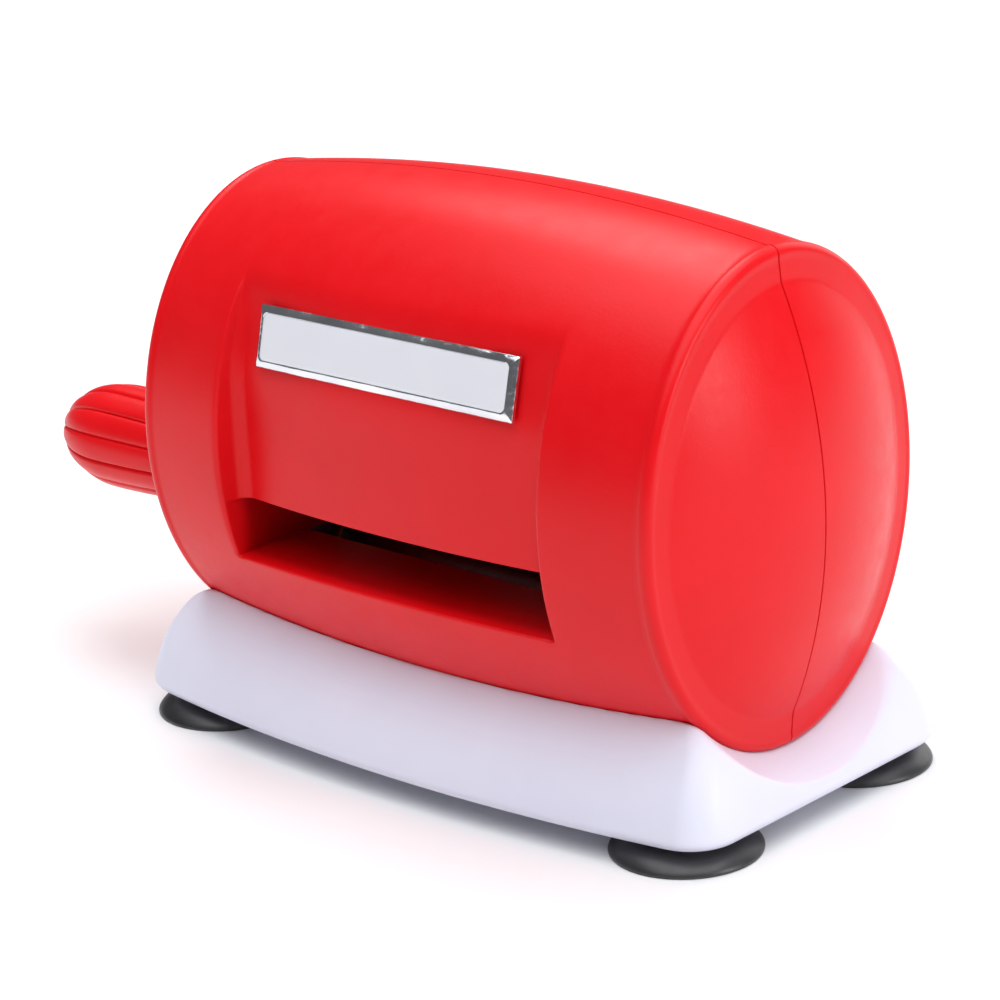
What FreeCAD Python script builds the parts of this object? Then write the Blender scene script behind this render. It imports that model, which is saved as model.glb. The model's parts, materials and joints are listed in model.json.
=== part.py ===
import FreeCAD, Part
import math
import os

import Sketcher

# A tabletop hand-cranked roller press.  +X runs along the barrel to its closed
# end, the crank is at -X, the feed slot faces -Y, +Z is up.  Millimetres.
# The table is z = 0.  Pieces are drawn about the middle of the barrel and are
# then moved along X by x_shift, so that the origin lies under the middle of
# the whole press, crank included.

os.makedirs("parts", exist_ok=True)
V = FreeCAD.Vector
doc = FreeCAD.newDocument("roller_press")
sheet = doc.addObject("Spreadsheet::Sheet", "Sheet")


class Dim:
    """A length that knows its number and the expression that gives it."""

    def __init__(self, value, text):
        self.v, self.t = float(value), text

    @staticmethod
    def of(o):
        return o if isinstance(o, Dim) else Dim(o, repr(float(o)))

    def __add__(self, o):
        o = Dim.of(o)
        return Dim(self.v + o.v, "(%s + %s)" % (self.t, o.t))

    def __sub__(self, o):
        o = Dim.of(o)
        return Dim(self.v - o.v, "(%s - %s)" % (self.t, o.t))

    def __mul__(self, o):
        o = Dim.of(o)
        return Dim(self.v * o.v, "(%s * %s)" % (self.t, o.t))

    def __neg__(self):
        return Dim(-self.v, "(0 - %s)" % self.t)

    def __rsub__(self, o):
        return Dim.of(o) - self

    __radd__ = __add__
    __rmul__ = __mul__


rows = []


def dim(alias, value):
    n = len(rows) + 1
    rows.append(alias)
    sheet.set("A%d" % n, alias)
    sheet.set("B%d" % n, repr(float(value)))
    sheet.setAlias("B%d" % n, alias)
    return Dim(value, "Sheet." + alias)


# ---------------------------------------------------------------- dimensions
x_shift = dim("x_shift", 39.45)
axis_z = dim("axis_z", 84.0)             # barrel axis above the table
rim_x = dim("rim_x", 90.0)               # half length to the rim
mid_half = dim("mid_half", 72.4)         # upright half axis at mid length
rim_half = dim("rim_half", 65.7)         # upright half axis at the rim
y_ratio = dim("y_ratio", 0.812)          # width over height of the section
ring_x = dim("ring_x", 91.2)             # foot of the end dome
dome_half = dim("dome_half", 57.0)
apex_x = dim("apex_x", 103.4)
wall = dim("wall", 3.0)
groove_w = dim("groove_w", 0.5)
groove_d = dim("groove_d", 0.6)

slot_half = dim("slot_half", 57.5)
slot_x = dim("slot_x", -1.35)            # middle of the slot and of the label
slot_low = dim("slot_low", 54.6)
slot_high = dim("slot_high", 70.8)
duct_wall = dim("duct_wall", 2.5)
duct_end = dim("duct_end", 24.6)         # inner end of the feed throat
cheek_end = dim("cheek_end", 14.5)       # inner end of its two side walls
panel_y = dim("panel_y", 51.0)           # recessed panel above the slot
panel_bow = dim("panel_bow", 484.0)      # its radius seen from above

base_low = dim("base_low", 6.6)
base_x = dim("base_x", 103.66)
base_y = dim("base_y", 60.34)
base_bow = dim("base_bow", 568.0)
base_corner = dim("base_corner", 12.8)
base_wall = dim("base_wall", 2.6)
seat_gap = dim("seat_gap", 0.15)
plate_low = dim("plate_low", 6.8)
plate_t = dim("plate_t", 1.6)
saddle_wall = dim("saddle_wall", 2.6)

cup_x = dim("cup_x", 84.1)
cup_y = dim("cup_y", 35.7)
cup_rim = dim("cup_rim", 20.0)

roller_r = dim("roller_r", 13.0)
roller_half = dim("roller_half", 60.0)
roller_gap = dim("roller_gap", 14.0)
gap_z = dim("gap_z", 62.5)
journal_r = dim("journal_r", 6.0)
running = dim("running", 0.05)
bush_r = dim("bush_r", 9.0)
bush_flange_r = dim("bush_flange_r", 11.0)
bush_flange_t = dim("bush_flange_t", 1.5)

frame_x = dim("frame_x", 62.0)
frame_t = dim("frame_t", 3.0)
foot_z = dim("foot_z", 24.0)
rod_y = dim("rod_y", 30.0)
rod_top = dim("rod_top", 100.0)
rod_low = dim("rod_low", 40.0)
rod_r = dim("rod_r", 4.0)
rod_stud = dim("rod_stud", 3.0)
foot_screw_x = dim("foot_screw_x", 56.0)
foot_screw_y = dim("foot_screw_y", 13.0)

sync_module = dim("sync_module", 2.0)
sync_teeth = dim("sync_teeth", 20)
drive_module = dim("drive_module", 1.25)
drive_teeth = dim("drive_teeth", 32)
pinion_teeth = dim("pinion_teeth", 16)
gear_x = dim("gear_x", 68.0)             # inner face of every gear
sync_w = dim("sync_w", 10.0)
drive_w = dim("drive_w", 8.0)

crank_z = dim("crank_z", 112.5)
hub_r = dim("hub_r", 13.0)
hub_x = dim("hub_x", 104.5)
hub_bush_r = dim("hub_bush_r", 8.0)
arm_x = dim("arm_x", 106.5)
arm_t = dim("arm_t", 8.0)
arm_hub_r = dim("arm_hub_r", 11.0)
arm_end_r = dim("arm_end_r", 9.0)
grip_z = dim("grip_z", 57.4)
grip_in = dim("grip_in", 117.0)
grip_tip = dim("grip_tip", 183.0)
grip_mid = dim("grip_mid", 158.8)
grip_r = dim("grip_r", 15.6)
grip_lobes = dim("grip_lobes", 12)
pin_r = dim("pin_r", 4.0)

label_len = dim("label_len", 92.1)
label_h = dim("label_h", 16.9)
label_t = dim("label_t", 2.2)
label_tilt = dim("label_tilt", 14.5)
label_y = dim("label_y", 49.45)
label_z = dim("label_z", 118.25)

boss_x = dim("boss_x", 83.0)
boss_top = dim("boss_top", 134.0)
boss_low = dim("boss_low", 60.0)
boss_mid = dim("boss_mid", 142.0)
boss_r = dim("boss_r", 4.5)

doc.recompute()

upper_z = gap_z + roller_gap * 0.5 + roller_r
lower_z = gap_z - roller_gap * 0.5 - roller_r
parts = []


# ---------------------------------------------------------------- helpers
def bind(obj, prop, d):
    d = Dim.of(d)
    obj.setExpression(prop, d.t)


def place(obj, y=0.0, z=0.0, x=None, angle=None):
    """Moves a finished piece to its place, with the press's own shift along X."""
    x = x_shift if x is None else Dim.of(x) + x_shift
    y, z = Dim.of(y), Dim.of(z)
    r = FreeCAD.Rotation() if angle is None else FreeCAD.Rotation(V(1, 0, 0), angle)
    obj.Placement = FreeCAD.Placement(V(x.v, y.v, z.v), r)
    bind(obj, "Placement.Base.x", x)
    bind(obj, "Placement.Base.y", y)
    bind(obj, "Placement.Base.z", z)
    return obj


def piece(obj, label):
    obj.Label = label
    parts.append(obj)
    return obj


def new_body(name):
    body = doc.addObject("PartDesign::Body", name + "_body")
    return body


def sketch_on(body, role, offset=0.0):
    s = body.newObject("Sketcher::SketchObject", body.Name + "_sketch")
    plane = [f for f in body.Origin.OriginFeatures if f.Role == role][0]
    s.AttachmentSupport = [(plane, "")]
    s.MapMode = "FlatFace"
    offset = Dim.of(offset)
    if offset.v:
        s.AttachmentOffset = FreeCAD.Placement(V(0, 0, offset.v), FreeCAD.Rotation())
        bind(s, "AttachmentOffset.Base.z", offset)
    return s


def pin_point(s, geo, pos, x, y, tag):
    """Ties a point of the sketch to its two dimensions."""
    for kind, d, axis in (("DistanceX", x, -2), ("DistanceY", y, -1)):
        d = Dim.of(d)
        if abs(d.v) < 1e-9:
            s.addConstraint(Sketcher.Constraint("PointOnObject", geo, pos, axis))
        else:
            i = s.addConstraint(Sketcher.Constraint(kind, -1, 1, geo, pos, d.v))
            if "Sheet" in d.t:
                name = tag + kind[-1]
                s.renameConstraint(i, name)
                s.setExpression("Constraints." + name, d.t)


def polygon(s, pts, tag="p"):
    first = s.GeometryCount
    n = len(pts)
    xy = [(Dim.of(a), Dim.of(b)) for a, b in pts]
    for i in range(n):
        a, b = xy[i], xy[(i + 1) % n]
        s.addGeometry(Part.LineSegment(V(a[0].v, a[1].v, 0), V(b[0].v, b[1].v, 0)), False)
    for i in range(n):
        s.addConstraint(
            Sketcher.Constraint("Coincident", first + i, 2, first + (i + 1) % n, 1)
        )
    for i in range(n):
        pin_point(s, first + i, 1, xy[i][0], xy[i][1], "%s%d" % (tag, i))
    return s


def circle(s, x, y, r, tag="c"):
    x, y, r = Dim.of(x), Dim.of(y), Dim.of(r)
    g = s.addGeometry(Part.Circle(V(x.v, y.v, 0), V(0, 0, 1), r.v), False)
    i = s.addConstraint(Sketcher.Constraint("Radius", g, r.v))
    if "Sheet" in r.t:
        s.renameConstraint(i, tag + "r")
        s.setExpression("Constraints." + tag + "r", r.t)
    pin_point(s, g, 3, x, y, tag)
    return s


def pad(body, s, length, reverse=False, middle=False):
    length = Dim.of(length)
    f = body.newObject("PartDesign::Pad", body.Name + "_pad")
    f.Profile = s
    f.Length = length.v
    bind(f, "Length", length)
    f.Reversed = reverse
    f.Midplane = middle
    return f


def pocket(body, s, length, reverse=False, middle=False):
    """Cuts, and makes sure that something was cut."""
    length = Dim.of(length)
    doc.recompute()
    before = body.Shape.Volume
    f = body.newObject("PartDesign::Pocket", body.Name + "_pocket")
    f.Profile = s
    f.Length = length.v
    bind(f, "Length", length)
    f.Reversed = reverse
    f.Midplane = middle
    doc.recompute()
    if not body.Shape.Volume < before - 1e-3:
        raise RuntimeError("pocket cut nothing in " + body.Name)
    return f


def turned(name, profile, y=0.0, z=0.0):
    """A lathe-turned piece about X.  profile is a closed outline of (x, radius)."""
    body = new_body(name)
    s = polygon(sketch_on(body, "XZ_Plane"), profile)
    r = body.newObject("PartDesign::Revolution", body.Name + "_turn")
    r.Profile = s
    r.ReferenceAxis = (s, ["H_Axis"])
    r.Angle = 360.0
    doc.recompute()
    place(body, y, z)
    return piece(body, name)


def prim(kind, name, **dims):
    o = doc.addObject(kind, name)
    for k, d in dims.items():
        d = Dim.of(d)
        setattr(o, k, d.v)
        bind(o, k, d)
    return o


def put(o, x=0.0, y=0.0, z=0.0, rot=None):
    x, y, z = Dim.of(x), Dim.of(y), Dim.of(z)
    o.Placement = FreeCAD.Placement(V(x.v, y.v, z.v), rot or FreeCAD.Rotation())
    bind(o, "Placement.Base.x", x)
    bind(o, "Placement.Base.y", y)
    bind(o, "Placement.Base.z", z)
    return o


ALONG_X = FreeCAD.Rotation(V(0, 1, 0), 90)
ALONG_Y = FreeCAD.Rotation(V(1, 0, 0), -90)


def block(name, x0, x1, y0, y1, z0, z1):
    x0, x1, y0, y1, z0, z1 = [Dim.of(d) for d in (x0, x1, y0, y1, z0, z1)]
    b = prim("Part::Box", name, Length=x1 - x0, Width=y1 - y0, Height=z1 - z0)
    return put(b, x0, y0, z0)


def rod(name, r, length, x=0.0, y=0.0, z=0.0, rot=None):
    return put(prim("Part::Cylinder", name, Radius=r, Height=length), x, y, z, rot)


def fuse(name, objs):
    f = doc.addObject("Part::MultiFuse", name)
    f.Shapes = objs
    return f


def cut(name, a, b):
    f = doc.addObject("Part::Cut", name)
    f.Base, f.Tool = a, b
    return f


def common(name, a, b):
    f = doc.addObject("Part::MultiCommon", name)
    f.Shapes = [a, b]
    return f


def solid(name, shape):
    o = doc.addObject("Part::Feature", name)
    o.Shape = shape
    return o


# ---------------------------------------------------------------- the barrel
def barrel(inset, name):
    """The crowned barrel with a domed end each side: turned about X, then
    narrowed in Y to its upright elliptical section.  inset moves it inwards."""
    k = inset
    crown = mid_half.v - k
    drop = mid_half.v - rim_half.v
    xe = rim_x.v - 3.0 - k * 0.9
    re = mid_half.v - drop * (xe / rim_x.v) ** 2 - k
    rx, rr = rim_x.v + 0.4 - k, rim_half.v - 2.6 - k * 0.9
    dx, dr = ring_x.v - k, dome_half.v - k * 0.45
    ax = apex_x.v - k
    sag = ax - dx
    big = (dr * dr + sag * sag) / (2 * sag)
    mx = ax - (big - math.sqrt(big * big - dr * dr / 4))
    q = 0.32
    fx, fr = rx * (1 - q) + xe * q + 0.55, rr * q + re * (1 - q) + 0.35

    def p(x, r):
        return V(x, 0, r)

    def half(s):
        return [
            Part.Arc(p(s * ax, 0), p(s * mx, dr / 2), p(s * dx, dr)).toShape(),
            Part.LineSegment(p(s * dx, dr), p(s * rx, rr)).toShape(),
            Part.Arc(p(s * rx, rr), p(s * fx, fr), p(s * xe, re)).toShape(),
        ]

    edges = half(1) + [Part.Arc(p(xe, re), p(0, crown), p(-xe, re)).toShape()]
    edges += half(-1) + [Part.LineSegment(p(-ax, 0), p(ax, 0)).toShape()]
    face = Part.Face(Part.Wire(Part.__sortEdges__(edges)))
    turned_solid = face.revolve(V(0, 0, 0), V(1, 0, 0), 360)
    m = FreeCAD.Matrix()
    m.A22 = (y_ratio.v * mid_half.v - k) / (mid_half.v - k)
    m.A34 = axis_z.v
    s = turned_solid.transformGeometry(m)
    if s.ShapeType != "Solid":
        s = s.Solids[0]
    if s.Volume < 0:
        s.reverse()
    return solid(name, s)


outer = barrel(0.0, "barrel_outside")
inner = barrel(wall.v, "barrel_inside")
skin_in = barrel(groove_d.v, "barrel_groove_floor")


def panel_cutter(back, side, name, front):
    """What the recessed panel takes away: its side outline swept about a far
    upright axis, so that it bows like the barrel, and kept between its sides."""
    y0 = panel_y.v - back
    tilt = math.tan(math.radians(label_tilt.v))
    zb, zt = 26.3 + axis_z.v, 60.0 + axis_z.v
    pts = [
        (-y0, slot_low.v - back),
        (-y0, 20.0 + axis_z.v),
        (-y0 + 0.7, zb),
        (-y0 + 0.7 + (zt - zb) * tilt, zt),
        (-95.0, zt),
        (-95.0, slot_low.v - back),
    ]
    far = panel_bow.v - panel_y.v
    wire = Part.makePolygon([V(0, y, z) for y, z in pts + pts[:1]])
    turned_face = Part.Face(wire)
    turned_face.rotate(V(0, far, 0), V(0, 0, 1), -12)
    s = turned_face.revolve(V(0, far, 0), V(0, 0, 1), 24)
    keep = Part.makeBox(
        2 * (slot_half.v + side), 120, 160, V(slot_x.v - slot_half.v - side, -110, 0)
    )
    s = s.common(keep)
    s = s.Solids[0]
    if not front:
        s = s.mirror(V(0, 0, 0), V(0, 1, 0))
    return solid(name, s)


def shell_half(front):
    """One half of the barrel: skin, recessed panel, feed throat, screw bosses,
    foot pads and the half of the crank hub."""
    tag = "front" if front else "rear"
    sgn = -1.0 if front else 1.0

    def ys(a, b):
        """The Y span from a to b outwards, on this half's side."""
        a, b = Dim.of(a), Dim.of(b)
        return (-b, -a) if front else (a, b)

    side = block(tag + "_side", -130, 130, *ys(0.0, 90), -10, 180)
    body0 = common(tag + "_half", outer, side)
    recess = panel_cutter(0.0, 0.0, tag + "_recess", front)
    behind = panel_cutter(wall.v, wall.v, tag + "_recess_back", front)
    body1 = cut(tag + "_dished", body0, recess)
    cavity = cut(tag + "_cavity", inner, behind)
    skin = cut(tag + "_skin", body1, cavity)
    throat = block(
        tag + "_throat",
        slot_x - (slot_half + duct_wall), slot_x + (slot_half + duct_wall),
        *ys(duct_end, 70),
        slot_low - duct_wall, slot_high + duct_wall,
    )
    adds = [throat]
    for i, sx in enumerate((1.0, -1.0)):
        near, far = slot_x + slot_half * sx, slot_x + (slot_half + duct_wall) * sx
        lo, hi = (near, far) if sx > 0 else (far, near)
        adds.append(
            block("%s_cheek%d" % (tag, i), lo, hi, *ys(cheek_end, duct_end + 4.0), slot_low - duct_wall, slot_high + duct_wall)
        )
    span = 70.0
    for i, (bx, bz) in enumerate(
        ((boss_x, boss_top), (-boss_x, boss_top), (boss_x, boss_low), (-boss_x, boss_low), (Dim.of(0), boss_mid))
    ):
        adds.append(
            rod("%s_boss%d" % (tag, i), boss_r, span, bx, -span if front else 0.0, bz, ALONG_Y)
        )
    for i, sx in enumerate((1, -1)):
        adds.append(
            rod("%s_pad%d" % (tag, i), 6.0, foot_z - 10.0, foot_screw_x * sx, foot_screw_y * sgn, 10.0)
        )
    adds.append(rod(tag + "_hub", hub_r, 14.0, -hub_x, 0.0, crank_z, ALONG_X))
    lumps = fuse(tag + "_lumps", adds)
    hub_keep = rod(tag + "_hubkeep", hub_r, 14.0, -hub_x, 0.0, crank_z, ALONG_X)
    keep = fuse(tag + "_keep", [body1, common(tag + "_hubhalf", hub_keep, side)])
    inside = common(tag + "_fittings", lumps, keep)
    joined = fuse(tag + "_joined", [skin, inside])
    takes = [
        block(tag + "_slot", slot_x - slot_half, slot_x + slot_half, *ys(cheek_end - 5.0, 90), slot_low, slot_high),
        rod(tag + "_hubbore", hub_bush_r, 30.0, -hub_x - 5.0, 0.0, crank_z, ALONG_X),
    ]
    groove_slab = block(
        tag + "_seam", -130, 130, groove_w * -0.5, groove_w * 0.5, -10, 180
    )
    ring = cut(tag + "_seamring", groove_slab, skin_in)
    hub_guard = rod(tag + "_guard", hub_r + 0.3, 40.0, -hub_x - 20.0, 0.0, crank_z, ALONG_X)
    takes.append(cut(tag + "_seamcut", ring, hub_guard))
    for i, (bx, bz) in enumerate(
        ((boss_x, boss_top), (-boss_x, boss_top), (boss_x, boss_low), (-boss_x, boss_low), (Dim.of(0), boss_mid))
    ):
        if front:
            takes.append(rod("front_pilot%d" % i, 1.6, 16.0, bx, -16.0, bz, ALONG_Y))
        else:
            takes.append(rod("rear_clear%d" % i, 1.8, 30.0, bx, -1.0, bz, ALONG_Y))
            takes.append(rod("rear_sink%d" % i, 3.4, 90.0, bx, 12.0, bz, ALONG_Y))
    for i, sx in enumerate((1, -1)):
        takes.append(
            rod("%s_padhole%d" % (tag, i), 2.15, 30.0, foot_screw_x * sx, foot_screw_y * sgn, 5.0)
        )
    if front:
        seat = prim(
            "Part::Box", "label_seat",
            Length=label_len + 0.2, Width=8.0, Height=label_h + 0.2,
        )
        tilt = math.radians(label_tilt.v)
        # the plate's back plane, 0.05 behind the plate
        n = V(0, -math.cos(tilt), math.sin(tilt))
        up = V(0, math.sin(tilt), math.cos(tilt))
        c = V(0, -label_y.v, label_z.v) - n * (label_t.v + 0.05)
        corner = c + V(slot_x.v, 0, 0) - V(label_len.v / 2 + 0.1, 0, 0) - up * (label_h.v / 2 + 0.1) + n * 8.0
        seat.Placement = FreeCAD.Placement(corner, FreeCAD.Rotation(V(1, 0, 0), -label_tilt.v))
        takes.append(seat)
    result = cut(tag + "_shell_cut", joined, fuse(tag + "_takes", takes))
    place(result)
    return piece(result, tag + "_shell")


front_shell = shell_half(True)
rear_shell = shell_half(False)


# ---------------------------------------------------------------- the base
def base_outline(z, dx, dy, corner, r):
    """One level of the base: bowed long sides, straight ends, round corners."""
    bx, by = base_x.v - dx, base_y.v - dy
    yc = r - by
    cy = yc - math.sqrt((r - corner) ** 2 - (bx - corner) ** 2)
    cc = V(bx - corner, cy, z)
    o = V(0, yc, z)
    d = (cc - o)
    d.normalize()
    t = o + d * r

    def at(v, sx, sy):
        return V(v.x * sx, v.y * sy, z)

    e = V(bx, cy, z)
    dm = d + V(1, 0, 0)
    dm.normalize()
    m = cc + dm * corner

    def arc(a, b, c):
        return Part.Arc(a, b, c).toShape()

    edges = [
        arc(at(t, -1, 1), V(0, -by, z), at(t, 1, 1)),
        arc(at(t, 1, 1), at(m, 1, 1), at(e, 1, 1)),
        Part.LineSegment(at(e, 1, 1), at(e, 1, -1)).toShape(),
        arc(at(e, 1, -1), at(m, 1, -1), at(t, 1, -1)),
        arc(at(t, 1, -1), V(0, by, z), at(t, -1, -1)),
        arc(at(t, -1, -1), at(m, -1, -1), at(e, -1, -1)),
        Part.LineSegment(at(e, -1, -1), at(e, -1, 1)).toShape(),
        arc(at(e, -1, 1), at(m, -1, 1), at(t, -1, 1)),
    ]
    return Part.Wire(edges)


def base_loft(inset, low, name):
    """The base as a stack of outlines: a rounded foot, then sides that draw in
    faster towards the top while their bow straightens."""
    wires = []
    for h in (0.0, 1.2, 3.0, 8.0, 13.0, 18.0, 22.0, 25.5, 28.0, 29.4):
        dx = 0.146 * h + 0.0056 * h * h + 5.4 * (h / 29.4) ** 6 + inset
        dy = 0.29 * h + 0.0183 * h * h + inset
        if h < 3.0:
            e = 2.2 * (1 - h / 3.0) ** 2
            dx, dy = dx + e, dy + e
        z = base_low.v + h
        if h == 0.0:
            z = low
        r = 1.0 / (1.0 / base_bow.v - 5.7e-5 * h) - inset
        corner = max(1.2, base_corner.v - 0.287 * h - inset)
        wires.append(base_outline(z, dx, dy, corner, r))
    s = Part.makeLoft(wires, True, False)
    return solid(name, s.Solids[0])


def flare(grow, name):
    """The scooped end of the saddle: a cone round the barrel's end, opening
    outwards, in the barrel's own elliptical section, at both ends."""
    shapes = []
    for sx in (1, -1):
        r0 = rim_half.v + 0.2 + grow
        x0, x1 = rim_x.v - 1.0, rim_x.v + 14.0
        c = Part.makeCone(r0, r0 + (x1 - x0) * 0.46, x1 - x0, V(0, 0, 0), V(1, 0, 0))
        c.translate(V(x0, 0, 0))
        if sx < 0:
            c = c.mirror(V(0, 0, 0), V(1, 0, 0))
        m = FreeCAD.Matrix()
        m.A22 = y_ratio.v
        m.A34 = axis_z.v
        shapes.append(c.transformGeometry(m))
    s = shapes[0].fuse(shapes[1])
    return solid(name, s)


base_out = base_loft(0.0, base_low.v, "base_outside")
base_in = base_loft(base_wall.v, base_low.v - 2.0, "base_inside")
seat_tool = barrel(-seat_gap.v, "saddle_seat")
seat_back = barrel(-seat_gap.v - saddle_wall.v, "saddle_back")
flare_tool = flare(0.0, "saddle_flare")
flare_back = flare(saddle_wall.v, "saddle_flare_back")

saddle = cut("base_saddled", base_out, fuse("base_seat_tools", [seat_tool, flare_tool]))
hollow = cut("base_hollow", base_in, fuse("base_seat_backs", [seat_back, flare_back]))
base_skin = cut("base_skin", saddle, hollow)
posts = []
holes = []
for i, (sx, sy) in enumerate(((1, 1), (1, -1), (-1, 1), (-1, -1))):
    posts.append(rod("base_post%d" % i, 6.5, 20.0, foot_screw_x * sx, foot_screw_y * sy, 12.5))
    posts.append(rod("base_boss%d" % i, 4.0, 30.0, 46.0 * sx, 40.0 * sy, plate_low + plate_t))
    holes.append(rod("base_post_hole%d" % i, 2.15, 30.0, foot_screw_x * sx, foot_screw_y * sy, 5.0))
    holes.append(rod("base_boss_hole%d" % i, 1.4, 12.0, 46.0 * sx, 40.0 * sy, 5.0))
base_fittings = common("base_fittings", fuse("base_lumps", posts), saddle)
base_joined = fuse("base_joined", [base_skin, base_fittings])
base_shell = cut("base_shell_cut", base_joined, fuse("base_holes", holes))
place(base_shell)
piece(base_shell, "base_shell")

# the cover under the base, inside its rim
rim = 2.2 + base_wall.v + 0.35
plate_wire = base_outline(plate_low.v, rim, rim, base_corner.v - base_wall.v - 0.35, base_bow.v - rim)
plate_solid = Part.Face(plate_wire).extrude(V(0, 0, plate_t.v))
plate_raw = solid("base_plate_raw", plate_solid)
plate_holes = []
for i, (sx, sy) in enumerate(((1, 1), (1, -1), (-1, 1), (-1, -1))):
    plate_holes.append(rod("plate_cup_hole%d" % i, 4.0, 10.0, cup_x * sx, cup_y * sy, 4.0))
    plate_holes.append(rod("plate_screw_hole%d" % i, 1.7, 10.0, 46.0 * sx, 40.0 * sy, 4.0))
base_plate = cut("base_plate_cut", plate_raw, fuse("plate_holes", plate_holes))
place(base_plate)
piece(base_plate, "base_plate")

# ---------------------------------------------------------------- suction feet
for name, sx, sy in (
    ("front_right", 1, -1), ("rear_right", 1, 1), ("front_left", -1, -1), ("rear_left", -1, 1),
):
    body = new_body("cup_" + name)
    s = sketch_on(body, "XZ_Plane")
    polygon(
        s,
        [
            (0, 2.6), (6.0, 2.35), (12.0, 1.6), (16.0, 0.7), (cup_rim - 1.6, 0),
            (cup_rim - 0.3, 0), (cup_rim, 0.5), (cup_rim - 0.1, 1.1), (cup_rim - 1.1, 2.5),
            (cup_rim - 2.9, 3.9), (cup_rim - 5.6, 5.1), (10.5, 6.1), (7.0, 6.6), (6.0, plate_low),
            (4.0, plate_low), (4.0, plate_low + plate_t), (5.6, plate_low + plate_t),
            (5.2, 11.0), (3.4, 13.0), (0, 13.0),
        ],
    )
    r = body.newObject("PartDesign::Revolution", body.Name + "_turn")
    r.Profile = s
    r.ReferenceAxis = (s, ["V_Axis"])
    r.Angle = 360.0
    doc.recompute()
    place(body, cup_y * sy, 0.0, cup_x * sx)
    piece(body, "suction_cup_" + name)

# ---------------------------------------------------------------- label plate
body = new_body("label_frame")
s = polygon(
    sketch_on(body, "XZ_Plane"),
    [
        (label_len * -0.5, label_h * -0.5), (label_len * 0.5, label_h * -0.5),
        (label_len * 0.5, label_h * 0.5), (label_len * -0.5, label_h * 0.5),
    ],
)
pad(body, s, label_t)
doc.recompute()
outer_edges = [
    "Edge%d" % (i + 1)
    for i, e in enumerate(body.Shape.Edges)
    if all(abs(v.Point.y + label_t.v) < 1e-6 for v in e.Vertexes)
]
blank = body.Tip
ch = body.newObject("PartDesign::Chamfer", "label_bevel")
ch.Base = (blank, outer_edges)
ch.Size = 1.0
doc.recompute()
s = polygon(
    sketch_on(body, "XZ_Plane", label_t),
    [
        (label_len * -0.5 + 2.3, label_h * -0.5 + 2.1), (label_len * 0.5 - 2.3, label_h * -0.5 + 2.1),
        (label_len * 0.5 - 2.3, label_h * 0.5 - 2.1), (label_len * -0.5 + 2.3, label_h * 0.5 - 2.1),
    ],
)
pocket(body, s, 0.9)
tilt = math.radians(label_tilt.v)
back = V(0, -label_y.v, label_z.v) + V(0, math.cos(tilt), -math.sin(tilt)) * label_t.v
place(body, back.y, back.z, slot_x, -label_tilt.v)
piece(body, "label_frame")

body = new_body("label_face")
s = polygon(
    sketch_on(body, "XZ_Plane", label_t - 0.9),
    [
        (label_len * -0.5 + 2.4, label_h * -0.5 + 2.2), (label_len * 0.5 - 2.4, label_h * -0.5 + 2.2),
        (label_len * 0.5 - 2.4, label_h * 0.5 - 2.2), (label_len * -0.5 + 2.4, label_h * 0.5 - 2.2),
    ],
)
pad(body, s, 0.9)
place(body, back.y, back.z, slot_x, -label_tilt.v)
piece(body, "label_face")

# ---------------------------------------------------------------- inner frame
for name, sx in (("right", 1.0), ("left", -1.0)):
    body = new_body("frame_" + name)
    right = sx > 0
    s = polygon(
        sketch_on(body, "YZ_Plane", frame_x * sx),
        [
            (18, foot_z), (33, 36), (38, 60), (38, 106), (16, 125),
            (-16, 125), (-38, 106), (-38, 60), (-33, 36), (-18, foot_z),
        ],
    )
    pad(body, s, frame_t, reverse=not right)
    s = polygon(
        sketch_on(body, "YZ_Plane", frame_x * sx),
        [(18, foot_z), (18, foot_z + 3), (-18, foot_z + 3), (-18, foot_z)],
    )
    pad(body, s, 12.0, reverse=right)
    s = sketch_on(body, "YZ_Plane", (frame_x + frame_t) * sx)
    circle(s, 0, upper_z, bush_r, "up")
    circle(s, 0, lower_z, bush_r, "lo")
    if not right:
        circle(s, 0, crank_z, bush_r, "cr")
    for j, (ry, rz) in enumerate(((rod_y, rod_top), (-rod_y, rod_top), (rod_y, rod_low), (-rod_y, rod_low))):
        circle(s, ry, rz, rod_stud, "rd%d" % j)
    pocket(body, s, frame_t, reverse=not right)
    s = sketch_on(body, "XY_Plane", foot_z)
    circle(s, foot_screw_x * sx, foot_screw_y, 2.0, "fa")
    circle(s, foot_screw_x * sx, -foot_screw_y, 2.0, "fb")
    pocket(body, s, 3.0, reverse=True)
    place(body)
    piece(body, "side_frame_" + name)

# four shouldered rods tie the frames together, a nut on each threaded end
tie = []
nuts = []
for j, (ry, rz) in enumerate(((rod_y, rod_top), (-rod_y, rod_top), (rod_y, rod_low), (-rod_y, rod_low))):
    a = rod("rod_core%d" % j, rod_r, frame_x * 2.0, -frame_x, ry, rz, ALONG_X)
    b = rod("rod_ends%d" % j, rod_stud, (frame_x + 10.0) * 2.0, -(frame_x + 10.0), ry, rz, ALONG_X)
    tie.append(fuse("rod%d" % j, [a, b]))
    for k, sx in enumerate((1, -1)):
        x0 = (frame_x + frame_t) if sx > 0 else -(frame_x + frame_t + 5.0)
        hexa = prim("Part::Prism", "nut_hex%d%d" % (j, k), Circumradius=5.77, Height=5.0)
        hexa.Polygon = 6
        put(hexa, x0, ry, rz, ALONG_X)
        hole = rod("nut_hole%d%d" % (j, k), rod_stud, 9.0, x0 - 2.0, ry, rz, ALONG_X)
        nuts.append(cut("nut%d%d" % (j, k), hexa, hole))


def group(name, objs):
    g = doc.addObject("Part::Compound", name + "_group")
    g.Links = objs
    place(g)
    return piece(g, name)


group("tie_rods", tie)
group("tie_rod_nuts", nuts)

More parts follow.
